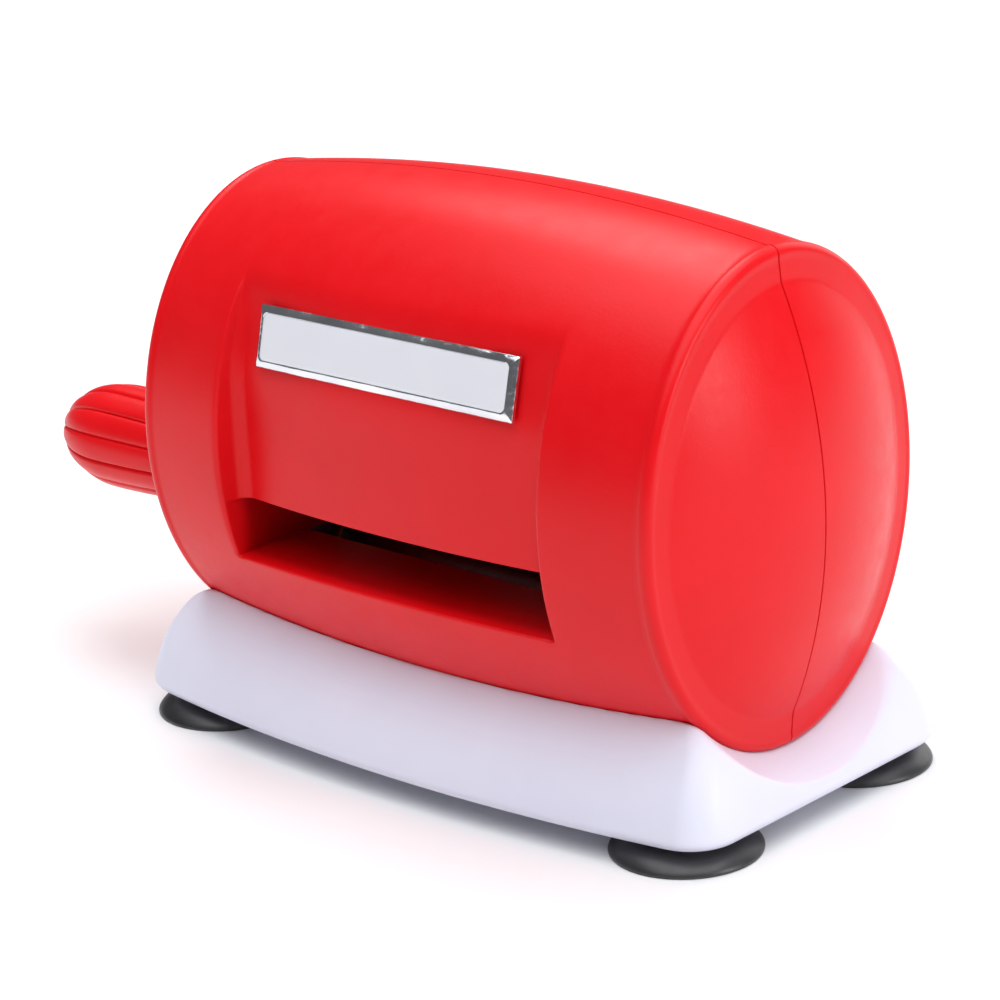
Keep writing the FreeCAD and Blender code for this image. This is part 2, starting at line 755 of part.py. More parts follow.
# ---------------------------------------------------------------- bushes
def bush(name, side, z, bore, long=4.0):
    """A flanged plain bush, its flange on the inner face of the side frame."""
    s = float(side)
    x0, x1, x2 = frame_x - bush_flange_t, frame_x, frame_x + frame_t + long - 2.0
    pts = [
        (x0 * s, bore), (x0 * s, bush_flange_r), (x1 * s, bush_flange_r),
        (x1 * s, bush_r), (x2 * s, bush_r), (x2 * s, bore),
    ]
    return turned(name, pts, 0.0, z)


bore = journal_r + running
bush("upper_bush_right", 1, upper_z, bore)
bush("upper_bush_left", -1, upper_z, bore)
bush("lower_bush_right", 1, lower_z, bore)
bush("lower_bush_left", -1, lower_z, bore)
bush("crank_bush_inner", -1, crank_z, bore)
turned(
    "crank_bush_outer",
    [
        (-(hub_x + 1.0), bore), (-(hub_x + 1.0), 10.0), (-hub_x, 10.0),
        (-hub_x, hub_bush_r), (-hub_x + 13.0, hub_bush_r), (-hub_x + 13.0, bore),
    ],
    0.0, crank_z,
)

# ---------------------------------------------------------------- rollers
clip_w = 1.0


def roller(name, z, left_end, right_end, left_clip, right_clip):
    """A ground steel roller with turned journals and a groove for each clip."""
    g = Dim.of(5.0)
    pts = [
        (left_end * -1.0, 0), (left_end * -1.0, journal_r),
        (left_clip * -1.0 - clip_w, journal_r), (left_clip * -1.0 - clip_w, g),
        (left_clip * -1.0, g), (left_clip * -1.0, journal_r),
        (-roller_half, journal_r), (-roller_half, roller_r - 0.6), (-roller_half + 0.6, roller_r),
        (roller_half - 0.6, roller_r), (roller_half, roller_r - 0.6), (roller_half, journal_r),
        (right_clip, journal_r), (right_clip, g),
        (right_clip + clip_w, g), (right_clip + clip_w, journal_r),
        (right_end, journal_r), (right_end, 0),
    ]
    return turned(name, pts, 0.0, z)


up_left = gear_x + drive_w + 0.2
right_clip = gear_x + sync_w + 0.2
roller("upper_roller", upper_z, up_left + 3.0, right_clip + 3.0, up_left, right_clip)
low_left = frame_x + frame_t + 2.6
roller("lower_roller", lower_z, low_left + 3.0, right_clip + 3.0, low_left, right_clip)


def clip(name, x, z, inner=5.0, outer_r=8.5):
    """A spring clip that sits in its groove, open on one side."""
    body = new_body(name)
    s = sketch_on(body, "YZ_Plane", x)
    circle(s, 0, 0, outer_r, "o")
    circle(s, 0, 0, inner, "i")
    pad(body, s, clip_w)
    s = polygon(
        sketch_on(body, "YZ_Plane", x),
        [(-3.2, inner * 0.45), (3.2, inner * 0.45), (3.2, outer_r + 1.0), (-3.2, outer_r + 1.0)],
    )
    pocket(body, s, clip_w, reverse=True)
    place(body, 0.0, z)
    return piece(body, name)


clip("upper_clip_left", -up_left - clip_w, upper_z)
clip("upper_clip_right", right_clip, upper_z)
clip("lower_clip_left", -low_left - clip_w, lower_z)
clip("lower_clip_right", right_clip, lower_z)


# ---------------------------------------------------------------- gears
def tooth_points(module, teeth, backlash, steps=8):
    """One involute tooth centred on +Z, its foot just inside the root circle."""
    rp = module * teeth / 2.0
    rb = rp * math.cos(math.radians(20.0))
    ra = rp + module * 0.98
    rf = rp - module * 1.25
    half_p = math.pi / (2 * teeth) - backlash / (2 * rp)

    def inv(a):
        return math.tan(a) - a

    def half_at(r):
        if r <= rb:
            return half_p + inv(math.radians(20.0))
        return half_p + inv(math.radians(20.0)) - inv(math.acos(rb / r))

    radii = [rf - 0.35 * module]
    start = max(rf, rb)
    if rb > rf:
        radii.append(rf + 0.001)
    radii += [start + (ra - start) * i / steps for i in range(steps + 1)]
    one = []
    for r in radii:
        a = half_at(r)
        one.append((r * math.sin(a), r * math.cos(a)))
    pts = [(-a, b) for a, b in one] + [(0.0, ra)] + one[::-1]
    return pts, rf


def gear(name, module, teeth, x0, width, z, tooth_up, bore_r, hub=0.0):
    """A spur gear: root disc, one tooth repeated round the axis, bore."""
    n = int(round(teeth.v))
    pts, rf = tooth_points(module.v, n, 0.16)
    if not tooth_up:
        turn = math.pi / n
    else:
        turn = 0.0
    pts = [
        (a * math.cos(turn) + b * math.sin(turn), -a * math.sin(turn) + b * math.cos(turn))
        for a, b in pts
    ]
    body = new_body(name)
    s = sketch_on(body, "YZ_Plane", x0)
    circle(s, 0, 0, module * teeth * 0.5 - module * 1.25, "root")
    pad(body, s, width)
    s = sketch_on(body, "YZ_Plane", x0)
    k = len(pts)
    for i in range(k):
        a, b = pts[i], pts[(i + 1) % k]
        s.addGeometry(Part.LineSegment(V(a[0], a[1], 0), V(b[0], b[1], 0)), False)
    for i in range(k):
        s.addConstraint(Sketcher.Constraint("Coincident", i, 2, (i + 1) % k, 1))
    tooth = pad(body, s, width)
    doc.recompute()
    pattern = body.newObject("PartDesign::PolarPattern", body.Name + "_teeth")
    pattern.Originals = [tooth]
    axis = [f for f in body.Origin.OriginFeatures if f.Role == "X_Axis"][0]
    pattern.Axis = (axis, [""])
    pattern.Angle = 360.0
    pattern.Occurrences = n
    body.Tip = pattern
    doc.recompute()
    s = sketch_on(body, "YZ_Plane", x0)
    circle(s, 0, 0, bore_r, "bore")
    pocket(body, s, width, reverse=True)
    place(body, 0.0, z)
    return piece(body, name)


gear("upper_sync_gear", sync_module, sync_teeth, gear_x, sync_w, upper_z, True, journal_r)
gear("lower_sync_gear", sync_module, sync_teeth, gear_x, sync_w, lower_z, False, journal_r)
gear("drive_gear", drive_module, drive_teeth, -gear_x - drive_w, drive_w, upper_z, False, journal_r)
gear("drive_pinion", drive_module, pinion_teeth, -gear_x - drive_w, drive_w, crank_z, True, journal_r)

# ---------------------------------------------------------------- crank
arm_out = arm_x + arm_t
shaft_in = Dim.of(56.5)
turned(
    "crank_shaft",
    [
        (-(arm_out - 1.0), 2.0), (-(arm_out - 1.0), 4.5), (-arm_x, 4.5), (-arm_x, journal_r),
        (-59.6, journal_r), (-59.6, 5.0), (-58.6, 5.0), (-58.6, journal_r),
        (-shaft_in, journal_r), (-shaft_in, 0), (-99.0, 0), (-99.0, 2.0),
    ],
    0.0, crank_z,
)
clip("crank_clip", -59.6, crank_z)

body = new_body("crank_arm")
s = sketch_on(body, "YZ_Plane", -arm_out)
ra, rb_, za, zb = arm_hub_r.v, arm_end_r.v, crank_z.v, grip_z.v
ang = math.asin((ra - rb_) / (za - zb))
ca, sa = math.cos(ang), math.sin(ang)
ta_r, ta_l = V(ra * ca, za - ra * sa, 0), V(-ra * ca, za - ra * sa, 0)
tb_r, tb_l = V(rb_ * ca, zb - rb_ * sa, 0), V(-rb_ * ca, zb - rb_ * sa, 0)
s.addGeometry(Part.Arc(ta_r, V(0, za + ra, 0), ta_l), False)
s.addGeometry(Part.LineSegment(ta_l, tb_l), False)
s.addGeometry(Part.Arc(tb_l, V(0, zb - rb_, 0), tb_r), False)
s.addGeometry(Part.LineSegment(tb_r, ta_r), False)
s.addConstraint(Sketcher.Constraint("Coincident", 0, 2, 1, 1))
s.addConstraint(Sketcher.Constraint("Coincident", 1, 2, 2, 1))
s.addConstraint(Sketcher.Constraint("Coincident", 2, 2, 3, 1))
s.addConstraint(Sketcher.Constraint("Coincident", 3, 2, 0, 1))
pad(body, s, arm_t)
doc.recompute()
rim_edges = [
    "Edge%d" % (i + 1)
    for i, e in enumerate(body.Shape.Edges)
    if len({round(v.Point.x, 4) for v in e.Vertexes}) == 1
]
blank = body.Tip
fl = body.newObject("PartDesign::Fillet", "arm_round")
fl.Base = (blank, rim_edges)
fl.Radius = 1.5
doc.recompute()
s = sketch_on(body, "YZ_Plane", -arm_out)
circle(s, 0, crank_z, 4.5, "ca")
circle(s, 0, grip_z, pin_r, "cb")
pocket(body, s, arm_t, reverse=True)
place(body)
piece(body, "crank_arm")

turned(
    "crank_screw",
    [
        (-(arm_out + 2.6), 0), (-(arm_out + 2.6), 3.4), (-(arm_out + 1.6), 5.6), (-arm_out, 6.0),
        (-arm_out, 2.0), (-99.5, 2.0), (-99.5, 0),
    ],
    0.0, crank_z,
)
turned(
    "grip_pin",
    [
        (-164.0, 0), (-164.0, 3.4), (-163.4, pin_r), (-161.6, pin_r), (-161.6, 3.0), (-160.6, 3.0),
        (-160.6, pin_r), (-(grip_in - 0.5), pin_r), (-(grip_in - 0.5), 5.6), (-arm_out, 5.6),
        (-arm_out, pin_r), (-arm_x, pin_r), (-arm_x, 0),
    ],
    0.0, grip_z,
)
clip("grip_retaining_ring", -161.6, grip_z, 3.0, 6.0)
turned(
    "grip_sleeve",
    [(-160.0, pin_r + running), (-160.0, 6.5), (-grip_in, 6.5), (-grip_in, pin_r + running)],
    0.0, grip_z,
)

# the grip: an egg turned about X, with lengthwise grooves that meet at its tip
body = new_body("grip")
a_out = grip_tip.v - grip_mid.v
prof = []
for i in range(13):
    a = math.radians(90.0 * i / 12)
    prof.append((-grip_mid.v - a_out * math.cos(a), grip_r.v * math.sin(a)))
a_in = grip_mid.v - grip_in.v
for i in range(1, 9):
    u = i / 8.0 * 0.93
    prof.append((-grip_mid.v + a_in * u, grip_r.v * math.sqrt(1 - (0.58 * u) ** 2)))
prof.append((-grip_in.v - 0.9, prof[-1][1] - 1.3))
prof.append((-grip_in.v, prof[-1][1] - 2.0))
outline = [(Dim.of(a), Dim.of(b)) for a, b in prof]
outline += [(-grip_in, 6.5), (-160.0, 6.5), (-160.0, 7.2), (-168.0, 7.2), (-168.0, 0)]
s = polygon(sketch_on(body, "XZ_Plane"), outline)
r = body.newObject("PartDesign::Revolution", "grip_turn")
r.Profile = s
r.ReferenceAxis = (s, ["H_Axis"])
r.Angle = 360.0
doc.recompute()
low = []
for a, b in prof[1:-1]:
    depth = 1.3 * min(1.0, (b / grip_r.v) * 1.15)
    low.append((a, b - depth))
s = sketch_on(body, "XZ_Plane")
polygon(s, [(low[0][0] - 1.2, 0.6)] + low + [(low[-1][0] + 3.0, low[-1][1]), (low[-1][0] + 3.0, 22.0), (-grip_tip.v - 4.0, 22.0), (-grip_tip.v - 4.0, 0.6)])
groove = pocket(body, s, 0.9, middle=True)
pattern = body.newObject("PartDesign::PolarPattern", "grip_grooves")
pattern.Originals = [groove]
axis = [f for f in body.Origin.OriginFeatures if f.Role == "X_Axis"][0]
pattern.Axis = (axis, [""])
pattern.Angle = 360.0
pattern.Occurrences = 12
bind(pattern, "Occurrences", grip_lobes)
body.Tip = pattern
doc.recompute()
place(body, 0.0, grip_z)
piece(body, "grip")

# ---------------------------------------------------------------- fasteners
def screw(name, head_r, head_h, r, length, rot, at):
    """A pan-head screw along +Z, head below, then turned and placed."""
    head = prim("Part::Cylinder", name + "_head", Radius=head_r, Height=head_h)
    shank = prim("Part::Cylinder", name + "_shank", Radius=r, Height=length + head_h)
    both = fuse(name, [head, shank])
    x, y, z = [Dim.of(d) for d in at]
    return put(both, x, y, z, rot)


IN_Y = FreeCAD.Rotation(V(1, 0, 0), 90)          # +Z turned to -Y
group(
    "shell_screws",
    [
        screw("shell_screw%d" % i, 3.2, 2.4, 1.6, 26.0, IN_Y, (bx, 14.4, bz))
        for i, (bx, bz) in enumerate(
            ((boss_x, boss_top), (-boss_x, boss_top), (boss_x, boss_low), (-boss_x, boss_low), (Dim.of(0), boss_mid))
        )
    ],
)
group(
    "frame_screws",
    [
        screw("frame_screw%d" % i, 3.8, 2.6, 2.0, 14.3, None, (foot_screw_x * sx, foot_screw_y * sy, 9.82))
        for i, (sx, sy) in enumerate(((1, 1), (1, -1), (-1, 1), (-1, -1)))
    ],
)
group(
    "base_plate_screws",
    [
        screw("plate_screw%d" % i, 3.0, 1.6, 1.4, 9.0, None, (46.0 * sx, 40.0 * sy, plate_low - 1.6))
        for i, (sx, sy) in enumerate(((1, 1), (1, -1), (-1, 1), (-1, -1)))
    ],
)

# ---------------------------------------------------------------- check, write
doc.recompute()
bad = []
for o in doc.Objects:
    if any(flag in ("Invalid", "Error") for flag in o.State):
        bad.append("%s: %s" % (o.Name, o.State))
for p in parts:
    if p.Shape.isNull() or not p.Shape.isValid() or not p.Shape.Solids:
        bad.append("%s has no valid solid" % p.Label)
if bad:
    raise RuntimeError("; ".join(bad))
for p in parts:
    p.Shape.exportStep("parts/%s.step" % p.Label)
box = FreeCAD.BoundBox()
for p in parts:
    box.add(p.Shape.BoundBox)
print("pieces", len(parts), "box", [round(c, 2) for c in (box.XMin, box.YMin, box.ZMin, box.XMax, box.YMax, box.ZMax)])
for p in parts:
    print("%-26s %2d solids %9.1f mm3" % (p.Label, len(p.Shape.Solids), p.Shape.Volume))
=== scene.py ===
import json
import math

import bmesh
import bpy
import numpy as np
from mathutils import Matrix, Vector


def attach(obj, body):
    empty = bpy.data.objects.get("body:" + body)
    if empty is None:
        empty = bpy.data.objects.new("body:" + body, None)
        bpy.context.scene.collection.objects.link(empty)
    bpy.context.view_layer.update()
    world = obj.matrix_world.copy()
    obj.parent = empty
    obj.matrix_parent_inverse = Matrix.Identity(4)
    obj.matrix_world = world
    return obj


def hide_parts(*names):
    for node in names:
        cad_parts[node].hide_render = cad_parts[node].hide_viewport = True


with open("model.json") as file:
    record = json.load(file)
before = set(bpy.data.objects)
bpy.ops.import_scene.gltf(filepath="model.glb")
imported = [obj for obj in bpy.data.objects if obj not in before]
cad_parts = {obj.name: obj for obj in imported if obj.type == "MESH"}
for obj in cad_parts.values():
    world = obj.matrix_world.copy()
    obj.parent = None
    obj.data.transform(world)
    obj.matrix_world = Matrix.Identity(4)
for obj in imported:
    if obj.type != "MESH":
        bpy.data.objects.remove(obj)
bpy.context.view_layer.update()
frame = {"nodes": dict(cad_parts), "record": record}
nodes = frame["nodes"]

# The barrel's middle lies this far along +X from the frame's origin.  Every
# outline below is in millimetres, X counted from the barrel's middle.
SHIFT = 39.45
MM = 0.001


# ------------------------------------------------------------------ materials
def node_material(name):
    m = bpy.data.materials.new(name)
    m.use_nodes = True
    nt = m.node_tree
    return m, nt, nt.nodes["Principled BSDF"]


def noise(nt, scale, detail=2.0, rough=0.5, stretch=None):
    """A noise texture in the object's own coordinates (metres)."""
    tc = nt.nodes.new("ShaderNodeTexCoord")
    n = nt.nodes.new("ShaderNodeTexNoise")
    n.inputs["Scale"].default_value = scale
    n.inputs["Detail"].default_value = detail
    n.inputs["Roughness"].default_value = rough
    if stretch:
        mp = nt.nodes.new("ShaderNodeMapping")
        mp.inputs["Scale"].default_value = stretch
        nt.links.new(tc.outputs["Object"], mp.inputs["Vector"])
        nt.links.new(mp.outputs["Vector"], n.inputs["Vector"])
    else:
        nt.links.new(tc.outputs["Object"], n.inputs["Vector"])
    return n.outputs["Fac"]


def remap(nt, value, low, high, from_low=0.3, from_high=0.7):
    r = nt.nodes.new("ShaderNodeMapRange")
    r.inputs["From Min"].default_value = from_low
    r.inputs["From Max"].default_value = from_high
    r.inputs["To Min"].default_value = low
    r.inputs["To Max"].default_value = high
    nt.links.new(value, r.inputs["Value"])
    return r.outputs["Result"]


def mixed(nt, value, a, b):
    r = nt.nodes.new("ShaderNodeValToRGB")
    r.color_ramp.elements[0].position = 0.3
    r.color_ramp.elements[1].position = 0.7
    r.color_ramp.elements[0].color = (*a, 1.0)
    r.color_ramp.elements[1].color = (*b, 1.0)
    nt.links.new(value, r.inputs["Fac"])
    return r.outputs["Color"]


def bumps(nt, bsdf, layers):
    """Stacked bumps: (height value, strength, depth in metres)."""
    last = None
    for value, strength, depth in layers:
        b = nt.nodes.new("ShaderNodeBump")
        b.inputs["Strength"].default_value = strength
        b.inputs["Distance"].default_value = depth
        nt.links.new(value, b.inputs["Height"])
        if last is not None:
            nt.links.new(last, b.inputs["Normal"])
        last = b.outputs["Normal"]
    nt.links.new(last, bsdf.inputs["Normal"])


def plastic(name, a, b, rough, grain, grain_strength, spec=0.5, blotch=40.0, coat=0.0):
    """Moulded plastic: slow colour drift, uneven gloss, spark-eroded grain."""
    m, nt, s = node_material(name)
    nt.links.new(mixed(nt, noise(nt, blotch, 2.0), a, b), s.inputs["Base Color"])
    nt.links.new(remap(nt, noise(nt, 160.0, 4.0, 0.6), *rough), s.inputs["Roughness"])
    s.inputs["Specular IOR Level"].default_value = spec
    if coat:
        s.inputs["Coat Weight"].default_value = coat
        s.inputs["Coat Roughness"].default_value = 0.22
    bumps(nt, s, [
        (noise(nt, grain, 2.0, 0.6), grain_strength, 0.00006),
        (noise(nt, 9.0, 1.0), 0.10, 0.0004),
    ])
    return m


def painted_throat_shade(m):
    """Painted shade in the feed throat: its inner faces are given a darker red and less shine, standing in for the
    shadow that falls there; a mask in the shell's own coordinates, zero outside the throat."""
    nt = m.node_tree
    s = nt.nodes["Principled BSDF"]
    colour = s.inputs["Base Color"].links[0].from_socket
    tc = nt.nodes.new("ShaderNodeTexCoord")
    sp = nt.nodes.new("ShaderNodeSeparateXYZ")
    nt.links.new(tc.outputs["Object"], sp.inputs["Vector"])

    def op(kind, a, b=None):
        n = nt.nodes.new("ShaderNodeMath")
        n.operation = kind
        for k, v in enumerate((a, b)):
            if v is None:
                continue
            if isinstance(v, (int, float)):
                n.inputs[k].default_value = v
            else:
                nt.links.new(v, n.inputs[k])
        return n.outputs["Value"]

    x = op("ABSOLUTE", op("SUBTRACT", sp.outputs["X"], (SHIFT - 1.35) * MM))
    y = op("ABSOLUTE", sp.outputs["Y"])
    v = op("ADD", y, op("MULTIPLY", op("MULTIPLY", x, x), 0.77))
    r = nt.nodes.new("ShaderNodeMapRange")
    r.interpolation_type = "SMOOTHSTEP"
    r.inputs["From Min"].default_value = 0.0529
    r.inputs["From Max"].default_value = 0.0465
    r.inputs["To Min"].default_value = 0.0
    r.inputs["To Max"].default_value = 0.72
    nt.links.new(v, r.inputs["Value"])
    mask = op("MULTIPLY", r.outputs["Result"], op("LESS_THAN", x, 0.0576))
    mask = op("MULTIPLY", mask, op("LESS_THAN", sp.outputs["Z"], 0.0710))
    mask = op("MULTIPLY", mask, op("GREATER_THAN", sp.outputs["Z"], 0.0538))
    mix = nt.nodes.new("ShaderNodeMix")
    mix.data_type = "RGBA"
    mix.blend_type = "MIX"
    ins = [i for i in mix.inputs if i.type == "RGBA"]
    out = [o for o in mix.outputs if o.type == "RGBA"][0]
    nt.links.new(mask, mix.inputs[0])
    nt.links.new(colour, ins[0])
    # painted shade colour: the dark red the throat's faces are blended towards
    ins[1].default_value = (0.34, 0.0005, 0.0010, 1.0)
    nt.links.new(out, s.inputs["Base Color"])
    # painted shade: the same faces shine less, their specular cut where the mask is full
    spec = s.inputs["Specular IOR Level"].default_value
    painted_shade_spec = op("MULTIPLY", op("SUBTRACT", 1.0, mask), spec)
    nt.links.new(painted_shade_spec, s.inputs["Specular IOR Level"])


def metal(name, a, b, rough, stretch=None, grain=700.0, strength=0.12, wave=0.0):
    m, nt, s = node_material(name)
    nt.links.new(mixed(nt, noise(nt, 60.0, 4.0), a, b), s.inputs["Base Color"])
    s.inputs["Metallic"].default_value = 1.0
    nt.links.new(remap(nt, noise(nt, 220.0, 5.0, 0.6, stretch), *rough), s.inputs["Roughness"])
    layers = [(noise(nt, grain, 3.0, 0.6, stretch), strength, 0.00003)]
    if wave:
        layers.append((noise(nt, 110.0, 2.0, 0.5, (1.0, 1.0, 1.6)), wave, 0.0009))
    bumps(nt, s, layers)
    return m


red = plastic("shell_red", (0.755, 0.0024, 0.0060), (0.795, 0.0034, 0.0080), (0.31, 0.40), 1500.0, 0.66, spec=0.27)
# paints shade into the feed throat of the red shell
painted_throat_shade(red)
white = plastic("base_white", (0.785, 0.795, 0.93), (0.81, 0.82, 0.95), (0.34, 0.42), 1200.0, 0.12, spec=0.35)
rubber = plastic("cup_rubber", (0.010, 0.010, 0.012), (0.019, 0.019, 0.021), (0.36, 0.50), 900.0, 0.25, spec=0.85)
sleeve = plastic("sleeve_plastic", (0.10, 0.10, 0.11), (0.13, 0.13, 0.14), (0.42, 0.52), 700.0, 0.2)
card = plastic("label_card", (0.84, 0.845, 0.90), (0.87, 0.875, 0.93), (0.16, 0.24), 600.0, 0.06, coat=0.6)
chrome = metal("label_chrome", (0.66, 0.68, 0.72), (0.84, 0.85, 0.88), (0.08, 0.20), None, 260.0, 0.45, wave=0.55)
frame_steel = metal("frame_steel", (0.46, 0.47, 0.48), (0.56, 0.56, 0.57), (0.32, 0.48), (1, 1, 6))
# near-black steel colour, partly the roller's own and partly painted shade for the roller seen deep in the throat
ground = metal("roller_steel", (0.10, 0.10, 0.105), (0.14, 0.14, 0.145), (0.26, 0.36), (1, 12, 12), 500.0, 0.08)
bronze = metal("bush_bronze", (0.50, 0.33, 0.14), (0.58, 0.40, 0.18), (0.34, 0.46))
gear_steel = metal("gear_steel", (0.34, 0.34, 0.35), (0.42, 0.42, 0.43), (0.30, 0.44))
spring = metal("spring_steel", (0.10, 0.10, 0.11), (0.16, 0.16, 0.17), (0.30, 0.42))
arm_steel = metal("arm_steel", (0.60, 0.61, 0.63), (0.68, 0.69, 0.71), (0.16, 0.26), (1, 1, 12))
zinc = metal("zinc_fasteners", (0.55, 0.56, 0.57), (0.66, 0.66, 0.66), (0.26, 0.40))

by_slot = {
    "shell_red": red, "base_white": white, "cup_rubber": rubber, "sleeve_plastic": sleeve,
    "label_card": card, "label_chrome": chrome, "frame_steel": frame_steel,
    "roller_steel": ground, "bush_bronze": bronze, "gear_steel": gear_steel,
    "spring_steel": spring, "arm_steel": arm_steel, "zinc_fasteners": zinc,
}
for sub in frame["record"]["subparts"]:
    o = nodes[sub["node"]]
    o.data.materials.clear()
    o.data.materials.append(by_slot[sub["material_slot"]])


# ------------------------------------------------------------------ mesh help
def make(name, verts, faces, slot, body, replaces=(), sharp=38.0, extra=()):
    """A mesh from millimetre vertices, placed on its body."""
    me = bpy.data.meshes.new(name)
    v = np.array(verts, float).reshape(-1, 3)
    v = (v + np.array([SHIFT, 0.0, 0.0])) * MM
    me.from_pydata([tuple(p) for p in v], [], [tuple(int(i) for i in f) for f in faces])
    me.validate()
    o = bpy.data.objects.new(name, me)
    bpy.context.scene.collection.objects.link(o)
    me.materials.append(by_slot[slot])
    finish_mesh(o, sharp)
    if body:
        settle(o, body, replaces)
    return o


def finish_mesh(o, sharp=38.0):
    me = o.data
    me.polygons.foreach_set("use_smooth", [True] * len(me.polygons))
    me.set_sharp_from_angle(angle=math.radians(sharp))
    me.update()


def settle(o, body, replaces=()):
    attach(o, body)
    if replaces:
        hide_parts(*replaces)


def bake_modifiers(o):
    """Applies what modifiers the mesh has, so that the piece is plain geometry."""
    bpy.context.view_layer.update()
    dg = bpy.context.evaluated_depsgraph_get()
    me = bpy.data.meshes.new_from_object(o.evaluated_get(dg))
    old = o.data
    o.modifiers.clear()
    o.data = me
    bpy.data.meshes.remove(old)
    return o


class Build:
    """Collects vertices and faces in millimetres."""

    def __init__(self):
        self.v, self.f = [], []

    def add(self, p):
        self.v.append((float(p[0]), float(p[1]), float(p[2])))
        return len(self.v) - 1

    def rows(self, rings, closed=True):
        """Quads between successive rings of vertex numbers."""
        for a, b in zip(rings[:-1], rings[1:]):
            n = len(a)
            for i in range(n if closed else n - 1):
                j = (i + 1) % n
                q = [a[i], a[j], b[j], b[i]]
                q = [x for k, x in enumerate(q) if x not in q[:k]]
                if len(q) >= 3:
                    self.f.append(q)

    def cap(self, ring, flip=False):
        self.f.append(list(ring)[::-1] if flip else list(ring))


def turned(name, profile, slot, body, y, z, n=96, replaces=(), sharp=38.0):
    """A closed turned piece about X: profile is an outline of (x, radius)."""
    b = Build()
    rings = []
    for x, r in profile:
        if r < 1e-6:
            k = b.add((x, y, z))
            rings.append([k] * n)
        else:
            rings.append([
                b.add((x, y + r * math.cos(t), z + r * math.sin(t)))
                for t in (2 * math.pi * i / n for i in range(n))
            ])
    if profile[0][1] > 1e-6 or profile[-1][1] > 1e-6:
        rings.append(rings[0])
    b.rows(rings)
    o = make(name, b.v, b.f, slot, None, sharp=sharp)
    outward(o)
    finish_mesh(o, sharp)
    settle(o, body, replaces)
    return o


def outward(o):
    bm = bmesh.new()
    bm.from_mesh(o.data)
    bmesh.ops.recalc_face_normals(bm, faces=bm.faces)
    bm.to_mesh(o.data)
    bm.free()


def smooth01(t):
    t = np.clip(t, 0.0, 1.0)
    return t * t * (3 - 2 * t)


# ------------------------------------------------------------------ the barrel
AXIS_Z, RATIO = 84.0, 0.812
MID, RIM, RIM_X = 72.4, 65.7, 90.0
SLOT_LOW, SLOT_HIGH, DUCT_END = 54.6, 70.8, 24.6
LIP, TOP_LIP = 0.87, 0.45
SLOT_X = -1.35  # middle of the slot, the recess and the label


def crown(x):
    return MID - (MID - RIM) * (x / RIM_X) ** 2


def arc3(a, b, c, n):
    """n points on the circle from a through b to c."""
    (ax, ay), (bx, by), (cx, cy) = a, b, c
    d = 2 * (ax * (by - cy) + bx * (cy - ay) + cx * (ay - by))
    ux = ((ax**2 + ay**2) * (by - cy) + (bx**2 + by**2) * (cy - ay) + (cx**2 + cy**2) * (ay - by)) / d
    uy = ((ax**2 + ay**2) * (cx - bx) + (bx**2 + by**2) * (ax - cx) + (cx**2 + cy**2) * (bx - ax)) / d
    r = math.hypot(ax - ux, ay - uy)
    ta, tb, tc = (math.atan2(p[1] - uy, p[0] - ux) for p in (a, b, c))
    while tc - ta > math.pi:
        tc -= 2 * math.pi
    while tc - ta < -math.pi:
        tc += 2 * math.pi
    return [(ux + r * math.cos(ta + (tc - ta) * i / (n - 1)), uy + r * math.sin(ta + (tc - ta) * i / (n - 1))) for i in range(n)]


def end_profile():
    """Rim rounding, flat ring and dome as (x, radius), from x = 87 to the pole,
    the ring's two edges eased."""
    pts = arc3((87.0, crown(87.0)), (89.95, 65.55), (90.55, 62.9), 60)
    pts += [(90.55 + 0.65 * i / 80, 62.9 - 5.9 * i / 80) for i in range(1, 81)]
    pts += arc3((91.2, 57.0), (100.44, 28.5), (103.4, 0.0), 900)[1:]
    p = np.array(pts)
    s = np.concatenate([[0], np.cumsum(np.hypot(*np.diff(p, axis=0).T))])
    grid = np.arange(0.0, s[-1], 0.05)
    q = np.stack([np.interp(grid, s, p[:, 0]), np.interp(grid, s, p[:, 1])], 1)
    # an easing that only acts near the crease between ring and dome
    k = np.exp(-0.5 * (np.arange(-40, 41) * 0.05 / 0.5) ** 2)
    k /= k.sum()
    soft = q.copy()
    for a in (0, 1):
        padded = np.concatenate([np.full(40, q[0, a]), q[:, a], np.full(40, q[-1, a])])
        soft[:, a] = np.convolve(padded, k, "valid")
    w = np.exp(-0.5 * ((q[:, 1] - 57.0) / 1.8) ** 2) + np.exp(-0.5 * ((q[:, 1] - 62.9) / 1.0) ** 2)
    w = np.clip(w, 0, 1)[:, None]
    q = soft * w + q * (1 - w)
    want = [0.0]
    while want[-1] < grid[-1] - 1.4:
        r = np.interp(want[-1], grid, q[:, 1])
        if r > 61.5:
            step = 0.34
        elif r > 54.5:
            step = 0.42
        elif r > 45:
            step = 1.0
        else:
            step = 1.9
        want.append(want[-1] + step)
    want = np.array(want)
    return [(float(np.interp(t, grid, q[:, 0])), float(np.interp(t, grid, q[:, 1]))) for t in want[1:]]


END = end_profile()


